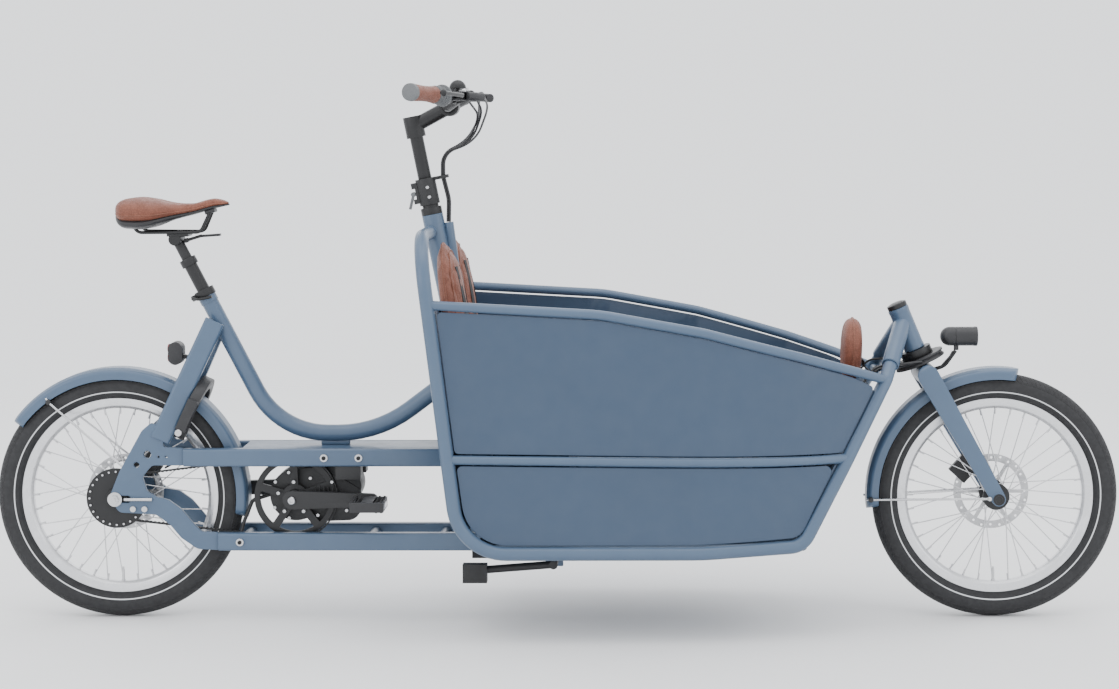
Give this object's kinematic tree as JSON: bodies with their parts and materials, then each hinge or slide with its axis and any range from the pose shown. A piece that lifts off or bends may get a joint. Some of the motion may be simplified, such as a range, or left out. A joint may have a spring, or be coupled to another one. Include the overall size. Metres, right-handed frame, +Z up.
{
  "type": "cargo bicycle",
  "caption": "Long front-loading cargo bicycle with a panelled box, cable steering, a mid motor and belt drive.",
  "frame": {"origin": "on the ground midway between the two axles, on the centre plane", "axes": "+X forward, +Y to the rider's left, +Z up"},
  "size_m": [2.356, 0.629, 1.1252],
  "materials": {
    "painted_frame": "satin",
    "black_metal": "satin",
    "black_plastic": "matte",
    "grey_plastic": "matte",
    "tan_leather": "satin",
    "tyre_rubber": "matte",
    "bright_steel": "polished",
    "rim_alloy": "satin",
    "belt_rubber": "matte",
    "cable_jacket": "satin",
    "lamp_body": "gloss"
  },
  "bodies": {
    "frame": {"main_tube": "painted_frame", "frame_rails": "painted_frame", "rear_stays": "painted_frame", "box_frame": "painted_frame", "upper_panels": "painted_frame", "lower_panels": "painted_frame", "box_shell": "painted_frame", "benches": "painted_frame", "backrests": "tan_leather", "seat_pads": "tan_leather", "column_tube": "painted_frame", "front_frame": "painted_frame", "frame_collars": "black_metal", "rear_axle": "bright_steel", "rear_caliper": "black_metal", "ring_lock": "black_plastic", "rear_light": "lamp_body", "rear_guard": "painted_frame", "motor": "black_plastic", "belt": "belt_rubber", "frame_bolts": "bright_steel", "frame_cables": "cable_jacket", "lower_cables": "cable_jacket"},
    "steering": {"steer_tube": "black_metal", "lifter_clamp": "black_metal"},
    "lifter": {"lifter_lever": "grey_plastic"},
    "handlebar": {"handlebar_post": "black_metal", "handlebar": "black_metal", "grips": "tan_leather", "bar_controls": "black_plastic", "bell": "black_metal", "upper_cables": "cable_jacket"},
    "right_lever": {"brake_lever_right": "black_metal"},
    "left_lever": {"brake_lever_left": "black_metal"},
    "shifter": {"twist_shifter": "grey_plastic"},
    "striker": {"bell_striker": "bright_steel"},
    "button": {"assist_button": "grey_plastic"},
    "fork": {"fork": "painted_frame", "front_pulley": "black_plastic", "front_axle": "black_metal", "front_guard": "painted_frame", "front_caliper": "black_metal"},
    "lamp": {"headlight": "lamp_body"},
    "front_wheel": {"front_tyre": "tyre_rubber", "front_rim": "rim_alloy", "front_spokes": "rim_alloy", "front_hub": "black_metal"},
    "rear_wheel": {"rear_tyre": "tyre_rubber", "rear_rim": "rim_alloy", "rear_spokes": "rim_alloy", "rear_hub": "black_metal"},
    "crankset": {"cranks": "black_metal", "front_belt_wheel": "black_metal"},
    "driver": {"rear_belt_wheel": "black_metal"},
    "right_pedal": {"pedal_right": "black_plastic"},
    "left_pedal": {"pedal_left": "black_plastic"},
    "seat": {"seat_post": "black_metal", "saddle": "tan_leather"},
    "height_lever": {"saddle_lever": "black_metal"},
    "stand": {"kickstand": "black_metal"}
  },
  "joints": [
    {"name": "steer", "type": "hinge", "parent": "frame", "child": "steering", "pos_m": [-0.263, 0, 0.863], "axis": [-0.1942, 0, 0.981], "range_deg": [-55, 55], "deforming": ["lower_cables"]},
    {"name": "bar_lift", "type": "slide", "parent": "steering", "child": "handlebar", "axis": [-0.1942, 0, 0.981], "range_m": [-0.07, 0.03], "deforming": ["upper_cables"]},
    {"name": "lifter_release", "type": "hinge", "parent": "steering", "child": "lifter", "pos_m": [-0.29884, 0, 0.88954], "axis": [0, 1, 0], "range_deg": [0, 60]},
    {"name": "right_brake", "type": "hinge", "parent": "handlebar", "child": "right_lever", "pos_m": [-0.18453, -0.1732, 1.09232], "axis": [-0.0174, -0.0403, -0.999], "range_deg": [0, 14], "stiffness_Nm_per_rad": 2},
    {"name": "left_brake", "type": "hinge", "parent": "handlebar", "child": "left_lever", "pos_m": [-0.18453, 0.1732, 1.09232], "axis": [0.0174, -0.0403, 0.999], "range_deg": [0, 14], "stiffness_Nm_per_rad": 2},
    {"name": "gear_twist", "type": "hinge", "parent": "handlebar", "child": "shifter", "pos_m": [-0.23052, -0.19908, 1.09417], "axis": [0.3953, 0.9175, -0.0439], "range_deg": [-60, 60]},
    {"name": "bell_flick", "type": "hinge", "parent": "handlebar", "child": "striker", "pos_m": [-0.19467, -0.14116, 1.10122], "axis": [0.0174, 0.0403, 0.999], "range_deg": [-15, 15], "stiffness_Nm_per_rad": 0.05},
    {"name": "assist_press", "type": "slide", "parent": "handlebar", "child": "button", "axis": [0.9184, 0.3957, 0], "range_m": [0, 0.002], "stiffness_N_per_m": 400},
    {"name": "fork_turn", "type": "hinge", "parent": "frame", "child": "fork", "pos_m": [0.759, 0, 0.544], "axis": [-0.3907, 0, 0.9205], "range_deg": [-55, 55]},
    {"name": "lamp_tilt", "type": "hinge", "parent": "fork", "child": "lamp", "pos_m": [0.836, 0, 0.569], "axis": [0, 1, 0], "range_deg": [-12, 12]},
    {"name": "front_spin", "type": "hinge", "parent": "fork", "child": "front_wheel", "pos_m": [0.92, 0, 0.258], "axis": [0, 1, 0], "continuous": true},
    {"name": "rear_spin", "type": "hinge", "parent": "frame", "child": "rear_wheel", "pos_m": [-0.92, 0, 0.258], "axis": [0, 1, 0], "continuous": true},
    {"name": "crank_spin", "type": "hinge", "parent": "frame", "child": "crankset", "pos_m": [-0.548, 0, 0.26], "axis": [0, 1, 0], "continuous": true},
    {"name": "driver_spin", "type": "hinge", "parent": "frame", "child": "driver", "pos_m": [-0.92, 0, 0.258], "axis": [0, 1, 0], "continuous": true},
    {"name": "right_pedal_spin", "type": "hinge", "parent": "crankset", "child": "right_pedal", "pos_m": [-0.383, -0.12, 0.26], "axis": [0, 1, 0], "continuous": true},
    {"name": "left_pedal_spin", "type": "hinge", "parent": "crankset", "child": "left_pedal", "pos_m": [-0.713, 0.12, 0.26], "axis": [0, 1, 0], "continuous": true},
    {"name": "seat_height", "type": "slide", "parent": "frame", "child": "seat", "axis": [-0.454, 0, 0.891], "range_m": [-0.04, 0.1]},
    {"name": "seat_release", "type": "hinge", "parent": "seat", "child": "height_lever", "pos_m": [-0.77354, 0, 0.794], "axis": [0, 1, 0], "range_deg": [-8, 0], "stiffness_Nm_per_rad": 0.5},
    {"name": "stand_fold", "type": "hinge", "parent": "frame", "child": "stand", "pos_m": [-0.005, 0, 0.133], "axis": [0, -1, 0], "range_deg": [0, 100]}
  ],
  "couplings": [
    {"joint": "fork_turn", "follows": "steer", "ratio": 1},
    {"joint": "driver_spin", "follows": "crank_spin", "ratio": 2.0833}
  ]
}
